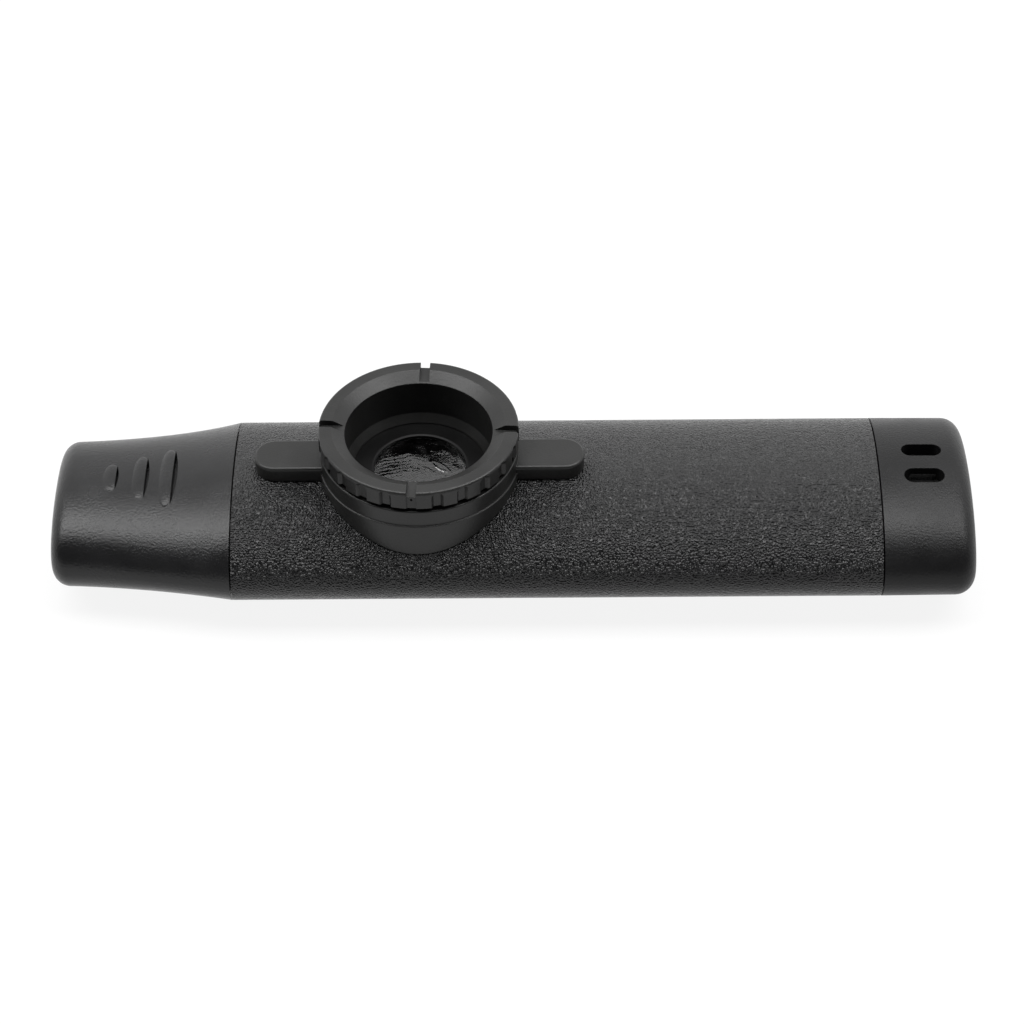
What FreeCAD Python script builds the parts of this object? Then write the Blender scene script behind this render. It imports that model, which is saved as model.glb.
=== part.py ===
import FreeCAD, Part
import math
import os

# Membrane kazoo: an oval aluminium tube with a plastic mouthpiece at -X, a
# tail cap at +X, and a screw-capped turret that clamps a thin film over a
# hole in the tube's roof.  Millimetres, +Z up, +X towards the tail, origin on
# the surface that the kazoo lies on, below the middle of its length.

Vec = FreeCAD.Vector

# ---- whole instrument
LENGTH = 120.0
TUBE_A = 15.15           # half of the oval tube's width
TUBE_B = 7.7             # half of its height
TUBE_WALL = 1.2
MOUTH_SEAM_X = -36.2     # where the tube meets the mouthpiece
TAIL_SEAM_X = 47.8       # where the tube meets the tail cap
SEAM_GAP = 0.2
AXIS_Z = TUBE_B
ROUND = 4 / 3 * (math.sqrt(2) - 1)   # handles that make a quarter curve an ellipse's
TUBE_IN_A = TUBE_A - TUBE_WALL
TUBE_IN_B = TUBE_B - TUBE_WALL

# ---- spigots that push into the two ends of the tube
SPIGOT_LENGTH = 8.0
SPIGOT_CLEARANCE = 0.08
SPIGOT_WALL = 1.6
SPIGOT_CHAMFER = 0.4
SEAL_CORD_R = 0.4
SEAL_SQUEEZE_GAP = 0.09
SEAL_GROOVE_WIDTH = 1.2
SEAL_GROOVE_DEPTH = 1.0
SEAL_FROM_SEAM = 3.2

CUTTER_OVERLAP = 0.2     # how far a flare's cutter runs on inside the hole that it flares

# ---- mouthpiece
MOUTH_END_A = 11.85
MOUTH_END_B = 6.35
MOUTH_END_Z = 7.33
MOUTH_END_FULLNESS = 0.61
MOUTH_WIDTH_FALL = 1.5   # how early the width and the height shrink
MOUTH_HEIGHT_FALL = 4.0
MOUTH_EDGE_R = 2.3
MOUTH_WALL_END = 1.9
BORE_STEP = 0.15         # step where the spigot's bore meets the taper
MOUTH_SLOT_A = 8.0       # half size of the blowing slot
MOUTH_SLOT_B = 2.3
MOUTH_SLOT_FLARE = 0.4
MOUTH_FACE_THICK = 2.4

# ---- three thumb grips on the mouthpiece: x of the step, half length, width
# of the half-moon recess in front of the step
GRIPS = [(-51.92, 2.24, 0.32), (-48.05, 3.86, 0.48), (-44.45, 5.23, 0.62)]
GRIP_RISE = 0.24
GRIP_REACH = 1.05        # from a swelling's crest to its far foot
GRIP_CREST = 0.65        # from the crest to the step
GRIP_DEPTH = 0.75

# ---- tail cap
TAIL_END_A = 15.05
TAIL_END_B = 7.64
TAIL_EDGE_R = 2.5
TAIL_WALL = 1.9
TAIL_MOUTH_A = 10.5      # half size of the open end
TAIL_MOUTH_B = 3.9
TAIL_MOUTH_FLARE = 0.5
STRAP_SLOT_X = 53.75
STRAP_SLOT_Y = 2.45
STRAP_SLOT_LENGTH = 5.25
STRAP_SLOT_WIDTH = 2.5
STRAP_FLOOR_Z = 13.2     # the slots are joined by a tunnel under a bridge
STRAP_BRIDGE_Z = 14.3
STRAP_TUNNEL_HALF = 1.8

# ---- turret base
TURRET_X = -11.95
BASE_FOOT_R = 13.1
BASE_LEDGE_Z = 16.55
LEDGE_EDGE = 0.1
COLLAR_R = 12.9
COLLAR_TOP_Z = 19.0
COLLAR_EDGE = 0.2
SADDLE_GAP = 0.16        # the foot stands on its gasket, clear of the tube
FOOT_GAP = 0.04
CUP_R = 11.4
CUP_BOTTOM_Z = 12.0
CUP_BORE_R = 10.62
SHELF_Z = 13.3
SHELF_HOLE_R = 8.2
TUBE_HOLE_R = 11.5
WING_REACH = 21.45
WING_HALF_WIDTH = 2.9
WING_CORNER_R = 2.6
WING_TOP_Z = 17.5
WING_EDGE_R = 0.4
GASKET_THICK = 0.4
GASKET_OUT_R = 12.4
GASKET_IN_R = 11.55

# ---- snap legs that hold the base down through slots in the tube's roof
LEG_X = 13.7             # from the turret's axis to the inner face of a leg
LEG_THICK = 1.3
LEG_WIDTH = 4.2
LEG_HOOK = 0.6
LEG_HOOK_EDGE = 0.4      # height of the hook's blunt nose
LEG_TIP_BEVEL = 0.3
LEG_TIP_Z = 12.5
LEG_HOOK_Z = 13.9
LEG_ROOT = 1.2           # how far a leg runs up into its wing
LEG_CLEARANCE = 0.15

# ---- screw thread between the base and the clamp ring
PITCH = 2.0
THREAD_BORE_R = 11.45
THREAD_BORE_Z = 15.8
THREAD_DEPTH = 0.6
THREAD_ROOT_WIDTH = 1.0
THREAD_CREST_WIDTH = 0.5
RING_THREAD_Z = 16.5
RING_THREAD_TURNS = 1.1
BASE_THREAD_TURNS = 1.0
THREAD_BITE = 0.15       # how far a ridge is sunk into its wall

# ---- clamp ring
RING_TURN = -3.0         # degrees that the ring is turned from the tube's axis
RING_R = 13.0
RING_BOTTOM_Z = 19.5
RING_TOP_Z = 22.2
RING_EDGE_R = 0.4
RING_BOTTOM_CHAMFER = 0.15
RING_CREASE_R = 11.28    # inner edge of the flat top, where the bevel begins
BORE_R = 9.6
BORE_TOP_Z = 21.25
BORE_FOOT_Z = 16.2
SLEEVE_R = 10.7
SLEEVE_TIP_R = 10.5
SLEEVE_STEP_Z = 15.9
SLEEVE_STEP = 0.2
SLEEVE_BOTTOM_Z = 14.0
KEY_WIDTH = 1.25         # four slots for a coin or a key
KEY_FLOOR_Z = 21.35
KEY_CHANNEL_R = 12.68
GRIP_COUNT = 24          # places round the rim, four of them taken by slots
GRIP_FLOOR_R = 12.5      # drafted grip notches: floor radius, and half width
GRIP_FLOOR_HALF = 0.46   # and top there
GRIP_FLOOR_TOP_Z = 21.7
GRIP_DRAFT = 0.72        # how fast a notch widens outwards
GRIP_CUT_PAST = 0.3      # how far a notch's cutter runs on outside the rim
PIN_MARK_R = 0.16
PIN_MARK_Z = 20.9
PIN_MARK_DEPTH = 0.6

# ---- film cartridge, which swivels in the foot of the clamp ring
FRAME_R = 9.93
FRAME_SEAT_R = 10.0      # top of the seat, whose wall has a little draft
FRAME_SEAT_FOOT_R = 10.03
FRAME_SEAT_TOP_Z = 15.06
FRAME_LAND_R = 8.75      # inner edge of the land that presses the frame down
FRAME_EDGE_TOP_Z = 15.0
FRAME_FLAT_R = 8.6       # the frame's top is flat outside this and rises inside it
FRAME_LIP_TOP_Z = 15.3
FRAME_LIP_FALL = 0.08
FRAME_BOTTOM_Z = 14.75
FRAME_HOLE_R = 6.0
FRAME_LIP_WIDTH = 0.3
BEAD_R = 9.82            # rounded bead that the cartridge snaps past
BEAD_ROOT_R = 9.96
BEAD_TOP_Z = 14.22
FILM_R = 9.4
FILM_THICK = 0.1
BACKING_HOLE_R = 6.6
BACKING_FOOT_R = 9.72
BACKING_STEP_Z = 14.25
BACKING_BOTTOM_Z = 13.9

# ---- film gasket on the shelf of the base
FILM_GASKET_IN_R = 8.5
FILM_GASKET_OUT_R = 10.5
FILM_GASKET_TOP_Z = 13.87


def oval_wire(x, a, b, z, fullness=ROUND):
    """A closed oval across the X axis, made of four quarter curves.

    fullness is the length of each curve's handles as a share of a and b:
    ROUND gives an ellipse and more gives squarer shoulders.
    """
    quarters = []
    for across, up in ((1, 1), (-1, 1), (-1, -1), (1, -1)):
        side = (across * a, 0), (across * a, up * b * fullness)
        top = (across * a * fullness, up * b), (0, up * b)
        poles = list(side + top)
        if across != up:
            poles.reverse()
        curve = Part.BezierCurve()
        curve.setPoles([Vec(x, y, z + height) for y, height in poles])
        quarters.append(curve.toShape())
    return Part.Wire(quarters)


def oval_prism(x0, x1, a, b, z=AXIS_Z):
    """A straight elliptical bar along X from x0 to x1."""
    centre = Vec(x0, 0, z)
    if a > b:
        ellipse = Part.Ellipse(centre + Vec(0, a, 0), centre + Vec(0, 0, b), centre)
    else:
        ellipse = Part.Ellipse(centre + Vec(0, 0, b), centre + Vec(0, a, 0), centre)
    face = Part.Face(Part.Wire(ellipse.toShape()))
    return face.extrude(Vec(x1 - x0, 0, 0))


def disc(r, z0, z1, x=TURRET_X, y=0.0):
    """An upright cylinder from z0 to z1."""
    return Part.makeCylinder(r, z1 - z0, Vec(x, y, z0))


def annulus(r_out, r_in, z0, z1):
    return disc(r_out, z0, z1).cut(disc(r_in, z0 - 1, z1 + 1))


def box(x0, x1, y0, y1, z0, z1):
    return Part.makeBox(x1 - x0, y1 - y0, z1 - z0, Vec(x0, y0, z0))


def turn(shape, degrees):
    """Turns a shape about the turret's axis."""
    out = shape.copy()
    out.rotate(Vec(TURRET_X, 0, 0), Vec(0, 0, 1), degrees)
    return out


def edges_at(shape, test):
    return [e for e in shape.Edges if test(e.BoundBox)]


def slot_prism(length, width, z0, z1, x, y):
    """An upright bar with round ends, its length along X."""
    r = width / 2
    half = length / 2 - r
    bar = box(x - half, x + half, y - r, y + r, z0, z1)
    ends = [disc(r, z0, z1, x + s * half, y) for s in (-1, 1)]
    return bar.fuse(ends).removeSplitter()


# ---------------------------------------------------------------- the tube

def body_tube():
    """The oval tube, with a round hole and two snap slots in its roof."""
    tube = oval_prism(MOUTH_SEAM_X, TAIL_SEAM_X, TUBE_A, TUBE_B)
    tube = tube.cut(oval_prism(MOUTH_SEAM_X - 1, TAIL_SEAM_X + 1, TUBE_IN_A, TUBE_IN_B))
    tube = tube.cut(disc(TUBE_HOLE_R, AXIS_Z, AXIS_Z + TUBE_B + 1))
    half = LEG_WIDTH / 2 + LEG_CLEARANCE
    for side in (-1, 1):
        near = LEG_X - LEG_CLEARANCE
        far = LEG_X + LEG_THICK + LEG_HOOK + LEG_CLEARANCE
        xs = sorted((TURRET_X + side * near, TURRET_X + side * far))
        tube = tube.cut(box(xs[0], xs[1], -half, half, AXIS_Z, AXIS_Z + TUBE_B + 1))
    return tube


def spigot(seam_x, into):
    """The oval sleeve that pushes into the tube; into is +1 or -1 along X."""
    a = TUBE_IN_A - SPIGOT_CLEARANCE
    b = TUBE_IN_B - SPIGOT_CLEARANCE
    end_x = seam_x + into * SPIGOT_LENGTH
    sleeve = oval_prism(min(seam_x, end_x), max(seam_x, end_x), a, b)
    tip = edges_at(sleeve, lambda k: abs(k.XMin - end_x) < 0.01 and abs(k.XMax - end_x) < 0.01)
    sleeve = sleeve.makeChamfer(SPIGOT_CHAMFER, tip)
    mid = seam_x + into * SEAL_FROM_SEAM
    x0, x1 = mid - SEAL_GROOVE_WIDTH / 2, mid + SEAL_GROOVE_WIDTH / 2
    band = oval_prism(x0, x1, a + 1, b + 1)
    core = oval_prism(x0 - 1, x1 + 1, TUBE_IN_A - SEAL_GROOVE_DEPTH, TUBE_IN_B - SEAL_GROOVE_DEPTH)
    return sleeve.cut(band.cut(core))


def oval_seal(seam_x, into):
    """A rubber cord ring in a spigot's groove."""
    inset = SEAL_CORD_R + SEAL_SQUEEZE_GAP
    x = seam_x + into * SEAL_FROM_SEAM
    path = oval_wire(x, TUBE_IN_A - inset, TUBE_IN_B - inset, AXIS_Z)
    centre = Vec(x, TUBE_IN_A - inset, AXIS_Z)
    cord = Part.Wire(Part.makeCircle(SEAL_CORD_R, centre, Vec(0, 0, 1)))
    return path.makePipeShell([cord], True, True)


# ---------------------------------------------------------- the mouthpiece

def mouthpiece_half_sizes(x):
    """Half width, half height, middle height and fullness at x."""
    start = MOUTH_SEAM_X - SEAM_GAP
    u = (start - x) / (start + LENGTH / 2)
    narrow = 1 - (1 - u) ** MOUTH_WIDTH_FALL
    flat = 1 - (1 - u) ** MOUTH_HEIGHT_FALL
    a = TUBE_A + (MOUTH_END_A - TUBE_A) * narrow
    b = TUBE_B + (MOUTH_END_B - TUBE_B) * flat
    z = AXIS_Z + (MOUTH_END_Z - AXIS_Z) * flat
    return a, b, z, ROUND + (MOUTH_END_FULLNESS - ROUND) * u


def roof_z(x, y=0.0):
    """Height of the mouthpiece's roof, near enough to an ellipse's."""
    a, b, z, _ = mouthpiece_half_sizes(x)
    return z + b * math.sqrt(1 - (y / a) ** 2)


def mouthpiece_skin():
    """The tapering outside of the mouthpiece, with a rounded end."""
    start = MOUTH_SEAM_X - SEAM_GAP
    wires = []
    for u in (0.0, 0.08, 0.18, 0.3, 0.45, 0.62, 0.8, 1.0):
        x = start - u * (start + LENGTH / 2)
        wires.append(oval_wire(x, *mouthpiece_half_sizes(x)))
    skin = Part.makeLoft(wires, True, False)
    rim = edges_at(skin, lambda k: k.XMax < -LENGTH / 2 + 0.01)
    return skin.makeFillet(MOUTH_EDGE_R, rim)


def grip_bump(x, half_length):
    """A low swelling that ends in a straight step facing the tube."""
    crest_x = x - GRIP_CREST
    half_length += GRIP_CREST / 2
    sag = roof_z(crest_x) - roof_z(crest_x, half_length)
    height = GRIP_RISE + sag
    reach = GRIP_REACH / math.sqrt(1 - (sag / height) ** 2)
    lump = Part.makeSphere(1.0)
    scale = FreeCAD.Matrix()
    scale.scale(reach, half_length, height)
    lump = lump.transformGeometry(scale)
    slope = math.atan2(roof_z(x) - roof_z(x - GRIP_REACH), GRIP_REACH)
    lump.rotate(Vec(0, 0, 0), Vec(0, 1, 0), -math.degrees(slope))
    lump.translate(Vec(crest_x, 0, roof_z(crest_x) - sag))
    return lump.common(box(x - 5, x, -10, 10, AXIS_Z, AXIS_Z + TUBE_B + 2))


def grip_recess(x, half_length, width):
    """A half-moon recess in front of the step."""
    top = AXIS_Z + TUBE_B + 2
    floor = roof_z(x, half_length) - GRIP_DEPTH
    ends = [Vec(x, -half_length, floor), Vec(x, half_length, floor)]
    bow = Part.Arc(ends[0], Vec(x + width, 0, floor), ends[1]).toShape()
    outline = Part.Wire([Part.makeLine(ends[1], ends[0]), bow])
    return Part.Face(outline).extrude(Vec(0, 0, top - floor))


def blowing_slot(inner_x):
    """Cutter for the slot in the mouthpiece's end, flared at the face."""
    end_x = -LENGTH / 2
    straight = slot_prism(2 * MOUTH_SLOT_A, 2 * MOUTH_SLOT_B, 0, inner_x - end_x + 1, 0, 0)
    wide_a, wide_b = MOUTH_SLOT_A + MOUTH_SLOT_FLARE, MOUTH_SLOT_B + MOUTH_SLOT_FLARE
    depth = MOUTH_SLOT_FLARE + CUTTER_OVERLAP
    mouth = slot_prism(2 * wide_a, 2 * wide_b, 0, 1 + depth, 0, 0)
    inner = edges_at(mouth, lambda k: k.ZMin > 1 + depth - 0.01)
    cutter = straight.fuse(mouth.makeChamfer(depth, inner))
    cutter.rotate(Vec(0, 0, 0), Vec(0, 0, 1), 90)
    cutter.rotate(Vec(0, 0, 0), Vec(0, 1, 0), 90)
    cutter.translate(Vec(end_x - 1, 0, MOUTH_END_Z))
    return cutter


def mouthpiece():
    """Hollow mouthpiece with its spigot, blowing slot and thumb grips."""
    shell = mouthpiece_skin()
    for grip in GRIPS:
        shell = shell.fuse(grip_bump(*grip[:2])).cut(grip_recess(*grip))
    shell = shell.fuse(spigot(MOUTH_SEAM_X - SEAM_GAP, 1))
    bore_a = TUBE_IN_A - SPIGOT_WALL
    bore_b = TUBE_IN_B - SPIGOT_WALL
    face_x = -LENGTH / 2 + MOUTH_FACE_THICK
    a, b, z, fullness = mouthpiece_half_sizes(face_x)
    straight = oval_prism(MOUTH_SEAM_X - 0.5, MOUTH_SEAM_X + SPIGOT_LENGTH + 1, bore_a, bore_b)
    wires = [oval_wire(MOUTH_SEAM_X, bore_a - BORE_STEP, bore_b - BORE_STEP, AXIS_Z)]
    wires.append(oval_wire(face_x, a - MOUTH_WALL_END, b - MOUTH_WALL_END, z, fullness))
    taper = Part.makeLoft(wires, True, False)
    return shell.cut(straight).cut(taper).cut(blowing_slot(face_x + 1))


# ------------------------------------------------------------ the tail cap

def tail_cap():
    """Hollow tail cap, open at its end, with a strap loop in its roof."""
    start = TAIL_SEAM_X + SEAM_GAP
    end = LENGTH / 2
    skin = Part.makeLoft(
        [oval_wire(start, TUBE_A, TUBE_B, AXIS_Z), oval_wire(end, TAIL_END_A, TAIL_END_B, AXIS_Z)],
        True, False)
    skin = skin.makeFillet(TAIL_EDGE_R, edges_at(skin, lambda k: k.XMin > end - 0.01))
    skin = skin.fuse(spigot(start, -1))
    bore_a = TUBE_IN_A - SPIGOT_WALL
    bore_b = TUBE_IN_B - SPIGOT_WALL
    bore = oval_prism(start - SPIGOT_LENGTH - 1, end - TAIL_WALL, bore_a, bore_b)
    mouth = oval_prism(end - TAIL_WALL - 1, end + 1, TAIL_MOUTH_A, TAIL_MOUTH_B)
    wide_a, wide_b = TAIL_MOUTH_A + TAIL_MOUTH_FLARE, TAIL_MOUTH_B + TAIL_MOUTH_FLARE
    depth = TAIL_MOUTH_FLARE + CUTTER_OVERLAP
    flare = oval_prism(end - depth, end + 1, wide_a, wide_b)
    flare = flare.makeChamfer(depth, edges_at(flare, lambda k: k.XMax < end))
    cap = skin.cut(bore).cut(mouth).cut(flare)
    for side in (-1, 1):
        cutter = slot_prism(STRAP_SLOT_LENGTH, STRAP_SLOT_WIDTH, STRAP_FLOOR_Z, 2 * TUBE_B + 1,
                            STRAP_SLOT_X, side * STRAP_SLOT_Y)
        cap = cap.cut(cutter)
    return cap.cut(box(STRAP_SLOT_X - STRAP_TUNNEL_HALF, STRAP_SLOT_X + STRAP_TUNNEL_HALF,
                       -STRAP_SLOT_Y, STRAP_SLOT_Y, STRAP_FLOOR_Z, STRAP_BRIDGE_Z))


# ---------------------------------------------------------- screw threads

def thread_ridge(root_r, crest_r, first_z, turns):
    """A right-hand helical ridge; crest_r less than root_r points inwards."""
    outward = 1 if crest_r > root_r else -1
    sunk_r = root_r - outward * THREAD_BITE
    corners = [
        Vec(sunk_r, 0, -THREAD_ROOT_WIDTH / 2),
        Vec(crest_r, 0, -THREAD_CREST_WIDTH / 2),
        Vec(crest_r, 0, THREAD_CREST_WIDTH / 2),
        Vec(sunk_r, 0, THREAD_ROOT_WIDTH / 2),
    ]
    profile = Part.makePolygon(corners + corners[:1])
    helix = Part.makeHelix(PITCH, PITCH * turns, root_r)
    ridge = Part.Wire(helix.Edges).makePipeShell([profile], True, True)
    ridge.translate(Vec(TURRET_X, 0, first_z))
    return ridge


# --------------------------------------------------------- the turret base

def wings():
    """The two flat straps, in line with the tube, that carry the snap legs."""
    x0, x1 = TURRET_X - WING_REACH, TURRET_X + WING_REACH
    strap = box(x0, x1, -WING_HALF_WIDTH, WING_HALF_WIDTH, AXIS_Z, WING_TOP_Z)
    upright = edges_at(strap, lambda k: k.ZLength > 1)
    strap = strap.makeFillet(WING_CORNER_R, upright)
    top = edges_at(strap, lambda k: k.ZMin > WING_TOP_Z - 0.01)
    return strap.makeFillet(WING_EDGE_R, top)


def snap_leg(side):
    """A leg below one wing, with a hook that catches under the tube's roof."""
    near, far, hook = LEG_X, LEG_X + LEG_THICK, LEG_X + LEG_THICK + LEG_HOOK
    section = [
        Vec(near, 0, WING_TOP_Z - LEG_ROOT),
        Vec(near, 0, LEG_TIP_Z),
        Vec(far - LEG_TIP_BEVEL, 0, LEG_TIP_Z),
        Vec(hook, 0, LEG_HOOK_Z - LEG_HOOK_EDGE),
        Vec(hook, 0, LEG_HOOK_Z),
        Vec(far, 0, LEG_HOOK_Z),
        Vec(far, 0, WING_TOP_Z - LEG_ROOT),
    ]
    leg = Part.Face(Part.makePolygon(section + section[:1])).extrude(Vec(0, LEG_WIDTH, 0))
    leg.translate(Vec(TURRET_X, -LEG_WIDTH / 2, 0))
    return turn(leg, 0 if side > 0 else 180)


def turret_base():
    """Saddle foot, threaded collar, film shelf and wings, in one moulding."""
    collar = disc(COLLAR_R, AXIS_Z, COLLAR_TOP_Z)
    rim = edges_at(collar, lambda k: k.ZMin > COLLAR_TOP_Z - 0.01 and k.YLength > 1)
    collar = collar.makeFillet(COLLAR_EDGE, rim)
    foot = disc(BASE_FOOT_R, AXIS_Z, BASE_LEDGE_Z)
    ledge = edges_at(foot, lambda k: k.ZMin > BASE_LEDGE_Z - 0.01 and k.YLength > 1)
    base = foot.makeFillet(LEDGE_EDGE, ledge).fuse([collar, wings()])
    long_x = WING_REACH + 5
    saddle = oval_prism(TURRET_X - long_x, TURRET_X + long_x, TUBE_A + SADDLE_GAP, TUBE_B + SADDLE_GAP)
    base = base.cut(saddle)
    seat = oval_prism(TURRET_X - long_x, TURRET_X + long_x,
                      TUBE_A + GASKET_THICK + 2 * FOOT_GAP, TUBE_B + GASKET_THICK + 2 * FOOT_GAP)
    base = base.cut(seat.common(disc(GASKET_OUT_R + FOOT_GAP, AXIS_Z, COLLAR_TOP_Z)))
    base = base.fuse([disc(CUP_R, CUP_BOTTOM_Z, THREAD_BORE_Z), snap_leg(-1), snap_leg(1)])
    base = base.cut(disc(THREAD_BORE_R, THREAD_BORE_Z, COLLAR_TOP_Z + 1))
    base = base.cut(disc(CUP_BORE_R, SHELF_Z, THREAD_BORE_Z + 1))
    base = base.cut(disc(SHELF_HOLE_R, CUP_BOTTOM_Z - 1, SHELF_Z + 1))
    ridge = thread_ridge(THREAD_BORE_R, THREAD_BORE_R - THREAD_DEPTH, RING_THREAD_Z, BASE_THREAD_TURNS)
    return base.fuse(turn(ridge, 180))


def base_gasket():
    """Thin saddle-shaped seal in the recess under the foot."""
    long_x = GASKET_OUT_R + 1
    upper = oval_prism(TURRET_X - long_x, TURRET_X + long_x,
                       TUBE_A + GASKET_THICK + FOOT_GAP, TUBE_B + GASKET_THICK + FOOT_GAP)
    lower = oval_prism(TURRET_X - long_x - 1, TURRET_X + long_x + 1,
                       TUBE_A + FOOT_GAP, TUBE_B + FOOT_GAP)
    return annulus(GASKET_OUT_R, GASKET_IN_R, AXIS_Z, COLLAR_TOP_Z).common(upper).cut(lower)


# --------------------------------------------------------- the clamp ring

def revolved(outline):
    """Turns a closed outline of edges in the XZ plane about the turret axis."""
    face = Part.Face(Part.Wire(outline))
    solid = face.revolve(Vec(0, 0, 0), Vec(0, 0, 1), 360)
    solid.translate(Vec(TURRET_X, 0, 0))
    return solid


def path(points):
    """Straight edges through points given as (radius, height)."""
    spots = [Vec(r, 0, z) for r, z in points]
    return [Part.makeLine(p, q) for p, q in zip(spots, spots[1:])]


def arc(start, middle, end):
    a, b, c = (Vec(r, 0, z) for r, z in (start, middle, end))
    return Part.Arc(a, b, c).toShape()


def ring_blank():
    """The head, with a flat top and a bevel into the bore, and the sleeve."""
    flat_r = RING_R - RING_EDGE_R
    wall_z = RING_TOP_Z - RING_EDGE_R
    inset = RING_EDGE_R * (1 - math.sin(math.pi / 4))
    edge = arc((flat_r, RING_TOP_Z), (RING_R - inset, RING_TOP_Z - inset), (RING_R, wall_z))
    under = path([
        (RING_R, wall_z),
        (RING_R, RING_BOTTOM_Z + RING_BOTTOM_CHAMFER),
        (RING_R - RING_BOTTOM_CHAMFER, RING_BOTTOM_Z),
        (SLEEVE_R, RING_BOTTOM_Z),
        (SLEEVE_R, SLEEVE_STEP_Z),
        (SLEEVE_TIP_R, SLEEVE_STEP_Z - SLEEVE_STEP),
        (SLEEVE_TIP_R, SLEEVE_BOTTOM_Z),
        (BEAD_ROOT_R, SLEEVE_BOTTOM_Z),
    ])
    bead_mid = (BEAD_R, (SLEEVE_BOTTOM_Z + BEAD_TOP_Z) / 2)
    bead = arc((BEAD_ROOT_R, SLEEVE_BOTTOM_Z), bead_mid, (BEAD_ROOT_R, BEAD_TOP_Z))
    inside = path([
        (BEAD_ROOT_R, BEAD_TOP_Z),
        (FRAME_SEAT_FOOT_R, BEAD_TOP_Z),
        (FRAME_SEAT_R, FRAME_SEAT_TOP_Z),
        (FRAME_LAND_R, FRAME_SEAT_TOP_Z),
        (BORE_R, BORE_FOOT_Z),
        (BORE_R, BORE_TOP_Z),
        (RING_CREASE_R, RING_TOP_Z),
        (flat_r, RING_TOP_Z),
    ])
    return revolved([edge] + under + [bead] + inside)


def key_slot(low, high):
    """Cutter for a slot across the top, with a shallow channel down the rim."""
    half = KEY_WIDTH / 2
    outer = TURRET_X + RING_R + 1
    floor = box(TURRET_X + BORE_R - 1, outer, -half, half, KEY_FLOOR_Z, high)
    return floor.fuse(box(TURRET_X + KEY_CHANNEL_R, outer, -half, half, low, high))


def grip_notch(low):
    """Cutter for a round-topped notch in the rim that widens outwards."""
    wires = []
    for out in (0.0, RING_R - GRIP_FLOOR_R + GRIP_CUT_PAST):
        half = GRIP_FLOOR_HALF + GRIP_DRAFT * out
        top = GRIP_FLOOR_TOP_Z + GRIP_DRAFT * out
        spots = [Vec(GRIP_FLOOR_R + out, y, z) for y, z in (
            (half, top - half), (half, low), (-half, low), (-half, top - half))]
        sides = [Part.makeLine(p, q) for p, q in zip(spots, spots[1:])]
        crown = Part.Arc(spots[3], Vec(GRIP_FLOOR_R + out, 0, top), spots[0]).toShape()
        wires.append(Part.Wire(sides + [crown]))
    notch = Part.makeLoft(wires, True, True)
    notch.translate(Vec(TURRET_X, 0, 0))
    return notch


def clamp_ring():
    """The screw cap that clamps the film cartridge."""
    low = RING_BOTTOM_Z - 0.5
    slot, notch = key_slot(low, RING_TOP_Z + 1), grip_notch(low)
    cutters = []
    for i in range(GRIP_COUNT):
        tool = notch if i % (GRIP_COUNT // 4) else slot
        cutters.append(turn(tool, 360 * i / GRIP_COUNT))
    mark_x = TURRET_X + KEY_CHANNEL_R - PIN_MARK_DEPTH
    mark = Part.makeCylinder(PIN_MARK_R, 2 * PIN_MARK_DEPTH, Vec(mark_x, 0, PIN_MARK_Z), Vec(1, 0, 0))
    cutters.append(turn(mark, -90))
    ring = ring_blank().cut(cutters)
    ridge = thread_ridge(SLEEVE_R, SLEEVE_R + THREAD_DEPTH, RING_THREAD_Z, RING_THREAD_TURNS)
    return turn(ring, RING_TURN).fuse(ridge)


# ----------------------------------------------------- the film cartridge

def film_frame():
    """Flat ring over the film; its top rises to a thin lip at the hole."""
    outline = path([
        (FRAME_HOLE_R, FRAME_BOTTOM_Z),
        (FRAME_R, FRAME_BOTTOM_Z),
        (FRAME_R, FRAME_EDGE_TOP_Z),
        (FRAME_FLAT_R, FRAME_EDGE_TOP_Z),
        (FRAME_HOLE_R + FRAME_LIP_WIDTH, FRAME_LIP_TOP_Z),
        (FRAME_HOLE_R, FRAME_LIP_TOP_Z - FRAME_LIP_FALL),
        (FRAME_HOLE_R, FRAME_BOTTOM_Z),
    ])
    return revolved(outline)


def resonator_film():
    """The thin vibrating film, clamped between its two rings."""
    return disc(FILM_R, FRAME_BOTTOM_Z - FILM_THICK, FRAME_BOTTOM_Z)


def film_backing_ring():
    """The ring below the film; its foot stands out of the clamp ring."""
    top = FRAME_BOTTOM_Z - FILM_THICK
    outline = path([
        (BACKING_HOLE_R, BACKING_BOTTOM_Z),
        (BACKING_FOOT_R, BACKING_BOTTOM_Z),
        (BACKING_FOOT_R, BACKING_STEP_Z),
        (FRAME_R, BACKING_STEP_Z),
        (FRAME_R, top),
        (BACKING_HOLE_R, top),
        (BACKING_HOLE_R, BACKING_BOTTOM_Z),
    ])
    return revolved(outline)


def film_gasket():
    """Soft flat ring on the shelf, which the cartridge is pressed against."""
    return annulus(FILM_GASKET_OUT_R, FILM_GASKET_IN_R, SHELF_Z, FILM_GASKET_TOP_Z)


SUB_PARTS = {
    "body_tube": body_tube,
    "mouthpiece": mouthpiece,
    "mouthpiece_seal": lambda: oval_seal(MOUTH_SEAM_X - SEAM_GAP, 1),
    "tail_cap": tail_cap,
    "tail_seal": lambda: oval_seal(TAIL_SEAM_X + SEAM_GAP, -1),
    "turret_base": turret_base,
    "base_gasket": base_gasket,
    "film_gasket": film_gasket,
    "film_backing_ring": film_backing_ring,
    "resonator_film": resonator_film,
    "film_frame": film_frame,
    "clamp_ring": clamp_ring,
}

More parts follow.
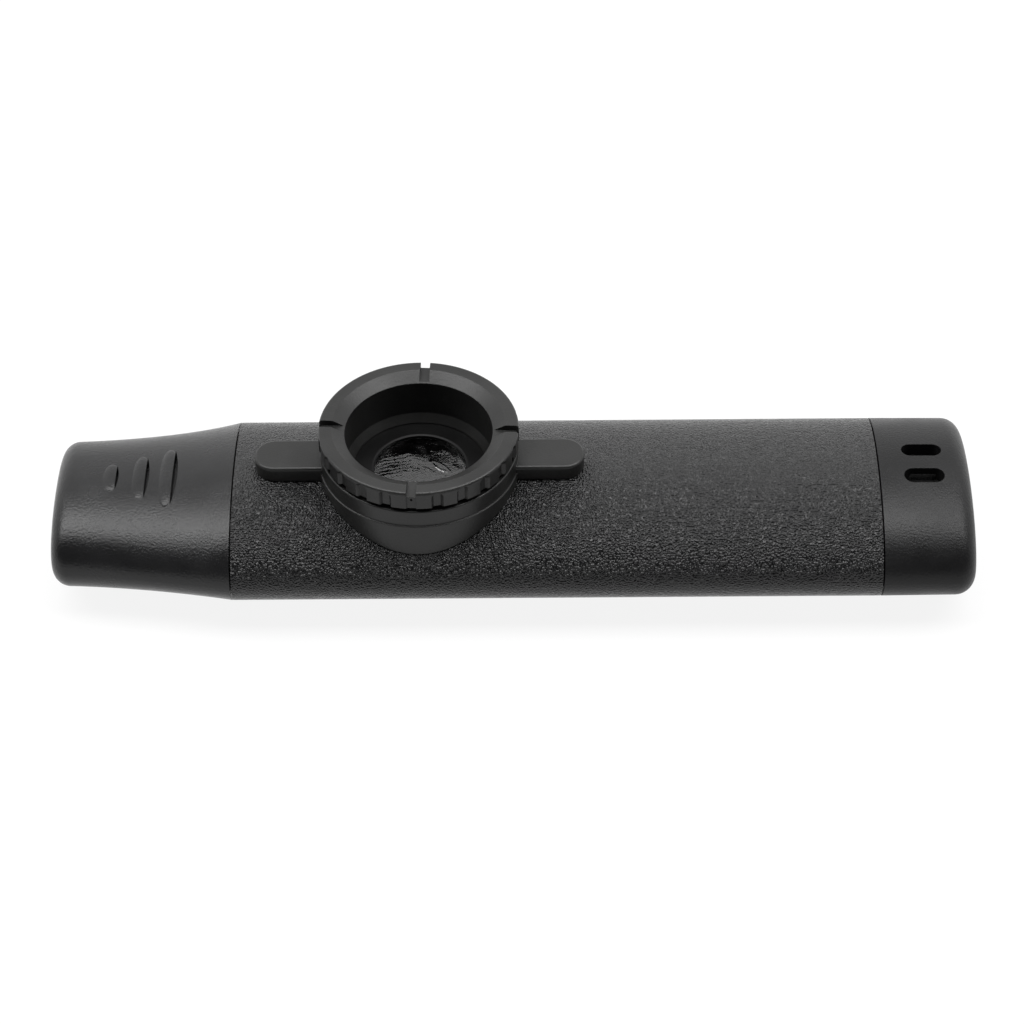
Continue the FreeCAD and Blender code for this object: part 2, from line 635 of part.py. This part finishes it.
os.makedirs("parts", exist_ok=True)
for name, make in SUB_PARTS.items():
    shape = make()
    if len(shape.Solids) == 1:
        shape = shape.Solids[0]
    shape.exportStep("parts/" + name + ".step")
    box_now = shape.BoundBox
    print(name, "valid" if shape.isValid() else "NOT VALID", len(shape.Solids), "solids",
          round(shape.Volume, 1), "mm3", [round(v, 2) for v in (
              box_now.XMin, box_now.XMax, box_now.YMin, box_now.YMax, box_now.ZMin, box_now.ZMax)])
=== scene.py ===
import bpy
import math
from mathutils import Matrix, Vector, noise


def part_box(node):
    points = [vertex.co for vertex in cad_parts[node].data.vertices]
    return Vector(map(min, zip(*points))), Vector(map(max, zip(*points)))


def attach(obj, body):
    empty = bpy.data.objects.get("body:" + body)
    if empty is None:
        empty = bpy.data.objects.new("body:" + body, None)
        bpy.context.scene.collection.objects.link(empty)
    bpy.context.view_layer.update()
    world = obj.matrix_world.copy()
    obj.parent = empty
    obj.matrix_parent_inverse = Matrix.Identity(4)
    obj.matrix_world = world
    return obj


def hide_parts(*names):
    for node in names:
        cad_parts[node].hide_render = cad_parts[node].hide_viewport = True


# A membrane kazoo lying on a white table: oval coated tube, black plastic
# mouthpiece and tail cap, and a turret whose screw ring holds a crinkled film.

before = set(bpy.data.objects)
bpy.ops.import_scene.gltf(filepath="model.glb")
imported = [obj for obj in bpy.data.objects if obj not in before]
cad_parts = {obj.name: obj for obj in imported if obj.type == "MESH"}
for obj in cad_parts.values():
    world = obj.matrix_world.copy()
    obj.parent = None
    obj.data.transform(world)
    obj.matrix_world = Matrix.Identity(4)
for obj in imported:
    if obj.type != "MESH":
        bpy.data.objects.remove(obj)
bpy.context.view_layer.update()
MM = 0.001

# ---------------------------------------------------------------- the camera

EYE_DISTANCE = 0.4141
EYE_PITCH = math.radians(42.90)
EYE_YAW = math.radians(-0.637)
EYE_ROLL = math.radians(-0.847)
EYE_TARGET = Vector((0.0, 0.0, 0.00694))
LENS = 109.8
SENSOR_WIDTH = 36.0
NEAREST = 0.01

# -------------------------------------------------------------- the finishes

# Noise scales are in cells a metre, so 4300 makes grains about 0.23 mm across.
SHEEN = 0.33                    # specular level of the coat, and of a plastic of shine 1
COAT_GRAIN = 4300.0
COAT_RELIEF = 0.26 * MM
COAT_DUST = 9000.0              # finer grain on top of the coarse one
COAT_DUST_RELIEF = 0.02 * MM
COAT_DUST_STRENGTH = 0.7
# Painted shade: the coat's colour is darker in the pits between the grains than on the grains.
COAT_PIT_SHADE = (0.0015, 0.0015, 0.0016)
COAT_CREST = (0.008, 0.008, 0.0084)
PIT_ROUGHNESS = 0.22
CREST_ROUGHNESS = 0.14

SPARK = 3600.0                  # the texture that a spark-cut mould leaves
SPARK_RELIEF = 0.05 * MM
SPARK_STRENGTH = 0.8
CLOUD = 160.0
CLOUD_TONE = 1.35               # how much lighter the clouds are
ROUGHNESS_SPREAD = (-0.04, 0.06)        # added between the clouds, and on them
SOFT_EDGE = 0.14 * MM
DARK_LINE_Z = 7.3 * MM               # height of a thin dark line on the mouthpiece, half way up it
DARK_LINE_HALF = (0.02 * MM, 0.06 * MM)      # fully dark to here, gone by there
DARK_LINE_BREAKS = 220.0
DARK_LINE_FAINTEST = 0.15
DARK_LINE_COLOUR = (0.001, 0.001, 0.001)

BLOOM = 900.0
BLOOM_RELIEF = 0.02 * MM

FILM_IOR = 1.75
FILM_HAZE = 420.0
FILM_GRAIN = 4200.0
FILM_GRAIN_RELIEF = 0.012 * MM

# ----------------------------------------------------------- the film's folds

# All in mm, from the middle of the film. The creases fade out at its frame.
FADE_OUT = (4.9, 5.9)
RIPPLE_PITCH = 0.7              # between the long creases on the left
RIPPLE_BEND = 0.034
RIPPLE_OVERTONE = 0.47          # pitch of the finer creases between the long ones
RIPPLE_RIGHT_END = (-0.6, 1.6)
RIPPLE_BACK_END = (1.6, 4.2)
RIPPLE = 0.013
FOLD = 0.06                     # the lens-shaped double fold on the right
FOLD_PLACE = (2.6, 0.5)
FOLD_RUN = (0.75, -0.66)
FOLD_HALF = (1.45, 0.42)
FOLD_EDGE = 0.3
HOLLOW_PLACE = (-0.3, -0.9)     # from the fold's middle, along it and across
HOLLOW_HALF = (1.3, 0.4)
SWELL = 0.16
CRAZE = 0.013
CRAZE_PLACE = (1.8, -2.0)       # where it is strongest
CRAZE_HALF = (2.6, 1.7)
CRAZE_RIGHT = (2.5, 4.5)        # it grows again from here to there
SPECK = 0.05
SPECKS = ((1.4, 3.7, 0.13), (2.3, 3.3, 0.1), (4.4, 0.6, 0.12), (-2.1, 2.9, 0.12))
FILM_RINGS = 120
FILM_SPOKES = 330

# ----------------------------------------------------------------- the studio

TABLE_HALF = 12.0
TABLE_COLOUR = (0.08, 0.08, 0.08)
TABLE_GLOW = 0.88
FAR_GLOW = 0.1                  # the glow fades out in front, past the picture
GLOW_FADE = (-0.5, -0.13)
WORLD_FADE = (-0.25, 0.1, 0.1, 1.1)     # from y, to y, front strength, back strength
OVERHEAD_PLACE = (0.0, 0.05, 0.75)
OVERHEAD_SIZE = (1.6, 0.36)
OVERHEAD_POWER = 11.5


def make_camera():
    """A long lens above and in front, almost square to the tube."""
    forward = Vector((
        math.sin(EYE_YAW) * math.cos(EYE_PITCH),
        math.cos(EYE_YAW) * math.cos(EYE_PITCH),
        -math.sin(EYE_PITCH),
    ))
    right = Vector((math.cos(EYE_YAW), -math.sin(EYE_YAW), 0.0))
    up = right.cross(forward)
    turned_right = right * math.cos(EYE_ROLL) + up * math.sin(EYE_ROLL)
    turned_up = up * math.cos(EYE_ROLL) - right * math.sin(EYE_ROLL)
    data = bpy.data.cameras.new("camera")
    data.lens = LENS
    data.sensor_width = SENSOR_WIDTH
    data.clip_start = NEAREST
    camera = bpy.data.objects.new("camera", data)
    axes = Matrix((turned_right, turned_up, -forward)).transposed()
    place = Matrix.Translation(EYE_TARGET - forward * EYE_DISTANCE)
    camera.matrix_world = place @ axes.to_4x4()
    bpy.context.scene.collection.objects.link(camera)
    bpy.context.scene.camera = camera


# ------------------------------------------------------------- node helpers

class Shader:
    """A Principled material whose nodes are added by short calls."""

    def __init__(self, name, colour, roughness):
        self.material = bpy.data.materials.new(name)
        self.material.use_nodes = True
        self.tree = self.material.node_tree
        self.main = self.tree.nodes["Principled BSDF"]
        self.set("Base Color", (*colour, 1.0))
        self.set("Roughness", roughness)
        self.place = self.tree.nodes.new("ShaderNodeTexCoord").outputs["Object"]

    def set(self, socket, value):
        self.main.inputs[socket].default_value = value

    def feed(self, socket, output):
        self.link(output, self.main.inputs[socket])

    def node(self, kind, **settings):
        made = self.tree.nodes.new("ShaderNode" + kind)
        for name, value in settings.items():
            setattr(made, name, value)
        return made

    def link(self, output, target):
        self.tree.links.new(output, target)

    def noise(self, scale, detail=2.0, rough=0.5):
        made = self.node("TexNoise")
        made.inputs["Scale"].default_value = scale
        made.inputs["Detail"].default_value = detail
        made.inputs["Roughness"].default_value = rough
        self.link(self.place, made.inputs["Vector"])
        return made.outputs["Fac"]

    def ramp(self, value, stops, low=0.0, high=1.0):
        """Maps value from stops to low..high, smoothly."""
        made = self.node("MapRange", interpolation_type="SMOOTHSTEP")
        self.link(value, made.inputs["Value"])
        made.inputs["From Min"].default_value = stops[0]
        made.inputs["From Max"].default_value = stops[1]
        made.inputs["To Min"].default_value = low
        made.inputs["To Max"].default_value = high
        return made.outputs["Result"]

    def mix(self, factor, first, second):
        """A colour between two colours."""
        made = self.node("Mix", data_type="RGBA")
        self.link(factor, made.inputs["Factor"])
        for socket, value in (("A", first), ("B", second)):
            inlet = next(i for i in made.inputs if i.name == socket and i.type == "RGBA")
            if isinstance(value, tuple):
                inlet.default_value = (*value, 1.0)
            else:
                self.link(value, inlet)
        return next(o for o in made.outputs if o.type == "RGBA")

    def maths(self, operation, first, second):
        made = self.node("Math", operation=operation)
        for inlet, value in zip(made.inputs, (first, second)):
            if isinstance(value, (int, float)):
                inlet.default_value = value
            else:
                self.link(value, inlet)
        return made.outputs[0]

    def rounded(self, radius):
        """Normals that look as if sharp edges were rounded to this radius."""
        made = self.node("Bevel", samples=6)
        made.inputs["Radius"].default_value = radius
        return made.outputs["Normal"]

    def axes(self):
        """The object's own X, Y and Z, in metres."""
        made = self.node("SeparateXYZ")
        self.link(self.place, made.inputs["Vector"])
        return made.outputs

    def bump(self, height, distance, strength=1.0, under=None):
        made = self.node("Bump")
        made.inputs["Strength"].default_value = strength
        made.inputs["Distance"].default_value = distance
        self.link(height, made.inputs["Height"])
        if under is not None:
            self.link(under, made.inputs["Normal"])
        return made.outputs["Normal"]


def tube_coat():
    """Powder coat: low shiny grains with duller pits between them, the pits' colour darkened
    as painted shade.
    """
    s = Shader("tube_coat", COAT_CREST, CREST_ROUGHNESS)
    s.set("Specular IOR Level", SHEEN)
    grain = s.noise(COAT_GRAIN, 0.0)
    dust = s.noise(COAT_DUST, 1.0)
    # Painted shade: the base colour darkens from the grains into the pits between them.
    s.feed("Base Color", s.mix(s.ramp(grain, (0.36, 0.64)), COAT_PIT_SHADE, COAT_CREST))
    s.feed("Roughness", s.ramp(grain, (0.35, 0.65), PIT_ROUGHNESS, CREST_ROUGHNESS))
    coarse = s.bump(grain, COAT_RELIEF)
    s.feed("Normal", s.bump(dust, COAT_DUST_RELIEF, COAT_DUST_STRENGTH, coarse))
    return s.material


def moulded_plastic(name, colour, rough, texture, shine=1.0, dark_line_z=None):
    """Satin moulded plastic: spark texture, faint flow clouds and soft edges.

    texture and shine scale the shared relief and sheen. The last argument,
    when given, is the height of a thin dark line that comes and goes.
    """
    s = Shader(name, colour, rough)
    spark = s.noise(SPARK, 3.0, 0.6)
    cloud = s.noise(CLOUD, 3.0)
    tone = s.mix(s.ramp(cloud, (0.35, 0.7)), colour, tuple(c * CLOUD_TONE for c in colour))
    if dark_line_z is not None:
        off = s.maths("ABSOLUTE", s.maths("SUBTRACT", s.axes()["Z"], dark_line_z), 0.0)
        line = s.ramp(off, DARK_LINE_HALF, 1.0, 0.0)
        broken = s.ramp(s.noise(DARK_LINE_BREAKS), (0.42, 0.56), DARK_LINE_FAINTEST, 1.0)
        tone = s.mix(s.maths("MULTIPLY", line, broken), tone, DARK_LINE_COLOUR)
    s.feed("Base Color", tone)
    between, on = ROUGHNESS_SPREAD
    s.feed("Roughness", s.ramp(cloud, (0.3, 0.7), rough + between, rough + on))
    s.set("Specular IOR Level", SHEEN * shine)
    edges = s.rounded(SOFT_EDGE)
    s.feed("Normal", s.bump(spark, SPARK_RELIEF * texture, SPARK_STRENGTH, edges))
    return s.material


def seal_rubber():
    """Matt black rubber with a slight bloom."""
    s = Shader("seal_rubber", (0.012, 0.012, 0.012), 0.7)
    bloom = s.noise(BLOOM, 2.0)
    s.feed("Roughness", s.ramp(bloom, (0.3, 0.7), 0.6, 0.8))
    s.feed("Normal", s.bump(bloom, BLOOM_RELIEF))
    return s.material


def clear_film():
    """Thin clear glossy film with patches of haze."""
    s = Shader("film", (0.95, 0.95, 0.96), 0.12)
    s.set("Transmission Weight", 1.0)
    s.set("IOR", FILM_IOR)
    s.feed("Roughness", s.ramp(s.noise(FILM_HAZE, 2.0), (0.42, 0.62), 0.07, 0.24))
    s.feed("Normal", s.bump(s.noise(FILM_GRAIN, 3.0, 0.65), FILM_GRAIN_RELIEF))
    return s.material


# ----------------------------------------------------------------- the film

def smooth(value, low, high):
    """0 below low, 1 above high, with a smooth step between."""
    t = min(1.0, max(0.0, (value - low) / (high - low)))
    return t * t * (3 - 2 * t)


def patchy(x, y, layer, detail_x, detail_y):
    """Smooth noise, different in each layer."""
    return noise.noise(Vector((x * detail_x, y * detail_y, layer)))


def mound(x, y, half_x, half_y):
    """A round hump of height 1 at the origin."""
    return math.exp(-((x / half_x) ** 2 + (y / half_y) ** 2))


def long_creases(x, y):
    """Parallel creases on the left, bending over to run straight across."""
    drift = patchy(x, y, 3.0, 0.55, 0.55)
    wander = patchy(x, y, 9.0, 0.9, 1.6)
    along = y + RIPPLE_BEND * min(x, 0.0) ** 2 + 0.25 * wander
    ripple = math.sin(along * math.tau / RIPPLE_PITCH + 2.2 * drift)
    ripple += 0.5 * math.sin(along * math.tau / (RIPPLE_PITCH * RIPPLE_OVERTONE) + 4.0 * drift)
    left = (1 - smooth(x, *RIPPLE_RIGHT_END)) * (1 - smooth(y, *RIPPLE_BACK_END))
    return RIPPLE * ripple * left * (0.45 + 0.9 * abs(wander))


def lens_fold(x, y):
    """A slanting double fold shaped like a lens, with a hollow in front of it."""
    u, v = x - FOLD_PLACE[0], y - FOLD_PLACE[1]
    run = FOLD_RUN[0] * u + FOLD_RUN[1] * v
    side = -FOLD_RUN[1] * u + FOLD_RUN[0] * v
    ring = math.hypot(run / FOLD_HALF[0], side / FOLD_HALF[1])
    ridge = math.exp(-((ring - 1) / FOLD_EDGE) ** 2)
    hollow = mound(run - HOLLOW_PLACE[0], side - HOLLOW_PLACE[1], *HOLLOW_HALF)
    return FOLD * (ridge - hollow)


def crazing(x, y):
    """Fine crumples, strongest in front of the middle."""
    fine = patchy(x, y, 5.0, 2.6, 2.6) + 0.5 * patchy(x, y, 7.0, 5.5, 5.5)
    front = mound(x - CRAZE_PLACE[0], y - CRAZE_PLACE[1], *CRAZE_HALF)
    return CRAZE * fine * (0.25 + front + 0.5 * smooth(x, *CRAZE_RIGHT))


def crease_height(x, y):
    """Height of the film's creases, in mm, at x to the right and y back."""
    height = long_creases(x, y) + lens_fold(x, y)
    height += SWELL * patchy(x, y, 21.0, 0.33, 0.33)
    height += crazing(x, y)
    for speck_x, speck_y, r in SPECKS:
        height += SPECK * mound(x - speck_x, y - speck_y, r, r)
    return height * (1 - smooth(math.hypot(x, y), *FADE_OUT))


def make_film():
    """The film as a crinkled sheet, flat where its two rings clamp it."""
    low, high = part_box("resonator_film")
    centre = (low + high) / 2
    radius = (high.x - low.x) / 2
    verts = [(0.0, 0.0, crease_height(0.0, 0.0) * MM)]
    for i in range(1, FILM_RINGS + 1):
        r = radius * i / FILM_RINGS
        for k in range(FILM_SPOKES):
            t = math.tau * k / FILM_SPOKES
            x, y = r * math.cos(t), r * math.sin(t)
            verts.append((x, y, crease_height(x / MM, y / MM) * MM))
    faces = [(0, 1 + k, 1 + (k + 1) % FILM_SPOKES) for k in range(FILM_SPOKES)]
    for i in range(FILM_RINGS - 1):
        inner, outer = 1 + i * FILM_SPOKES, 1 + (i + 1) * FILM_SPOKES
        for k in range(FILM_SPOKES):
            n = (k + 1) % FILM_SPOKES
            faces.append((inner + k, outer + k, outer + n, inner + n))
    mesh = bpy.data.meshes.new("film_crinkled")
    mesh.from_pydata(verts, [], faces)
    mesh.shade_smooth()
    film = bpy.data.objects.new("film_crinkled", mesh)
    bpy.context.scene.collection.objects.link(film)
    film.location = centre
    film.data.materials.append(clear_film())
    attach(film, "cartridge")
    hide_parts("resonator_film")


def paint(material, *node_names):
    """Gives the named CAD nodes their finished material."""
    for node_name in node_names:
        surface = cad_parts[node_name].data
        surface.materials.clear()
        surface.materials.append(material)


# ---------------------------------------------------------------- the stage

def make_stage():
    """A wide white table that glows, so that shadows on it stay faint."""
    mesh = bpy.data.meshes.new("table")
    half = TABLE_HALF
    corners = [(-half, -half, 0), (half, -half, 0), (half, half, 0), (-half, half, 0)]
    mesh.from_pydata(corners, [], [(0, 1, 2, 3)])
    table = bpy.data.objects.new("table", mesh)
    bpy.context.scene.collection.objects.link(table)
    s = Shader("table_white", TABLE_COLOUR, 0.9)
    s.set("Emission Color", (1, 1, 1, 1))
    s.feed("Emission Strength", s.ramp(s.axes()["Y"], GLOW_FADE, FAR_GLOW, TABLE_GLOW))
    table.data.materials.append(s.material)


def make_overhead():
    """A soft panel that faces straight down."""
    data = bpy.data.lights.new("overhead", "AREA")
    data.shape = "RECTANGLE"
    data.size, data.size_y = OVERHEAD_SIZE
    data.energy = OVERHEAD_POWER
    light = bpy.data.objects.new("overhead", data)
    light.location = OVERHEAD_PLACE
    bpy.context.scene.collection.objects.link(light)


def make_world():
    """A studio that is bright behind the table and dim in front of it."""
    world = bpy.data.worlds.new("studio")
    world.use_nodes = True
    tree = world.node_tree
    place = tree.nodes.new("ShaderNodeTexCoord").outputs["Generated"]
    axes = tree.nodes.new("ShaderNodeSeparateXYZ")
    fade = tree.nodes.new("ShaderNodeMapRange")
    fade.interpolation_type = "SMOOTHSTEP"
    tree.links.new(place, axes.inputs["Vector"])
    tree.links.new(axes.outputs["Y"], fade.inputs["Value"])
    for socket, value in zip(("From Min", "From Max", "To Min", "To Max"), WORLD_FADE):
        fade.inputs[socket].default_value = value
    tree.links.new(fade.outputs["Result"], tree.nodes["Background"].inputs["Strength"])
    tree.nodes["Background"].inputs["Color"].default_value = (1, 1, 1, 1)
    bpy.context.scene.world = world


make_camera()
make_stage()
make_world()
make_overhead()
bpy.context.scene.view_settings.view_transform = "Standard"

paint(moulded_plastic("mouth_plastic", (0.008, 0.008, 0.0084), 0.22, 1.6, dark_line_z=DARK_LINE_Z),
      "mouthpiece")
paint(moulded_plastic("tail_plastic", (0.006, 0.006, 0.0063), 0.36, 1.4, shine=0.72),
      "tail_cap")
paint(moulded_plastic("turret_plastic", (0.011, 0.011, 0.0107), 0.34, 0.6),
      "turret_base", "clamp_ring")
paint(moulded_plastic("frame_plastic", (0.003, 0.003, 0.003), 0.4, 0.3, shine=0.45),
      "film_frame", "film_backing_ring")
paint(seal_rubber(), "film_gasket", "base_gasket", "mouthpiece_seal", "tail_seal")
paint(tube_coat(), "body_tube")
make_film()
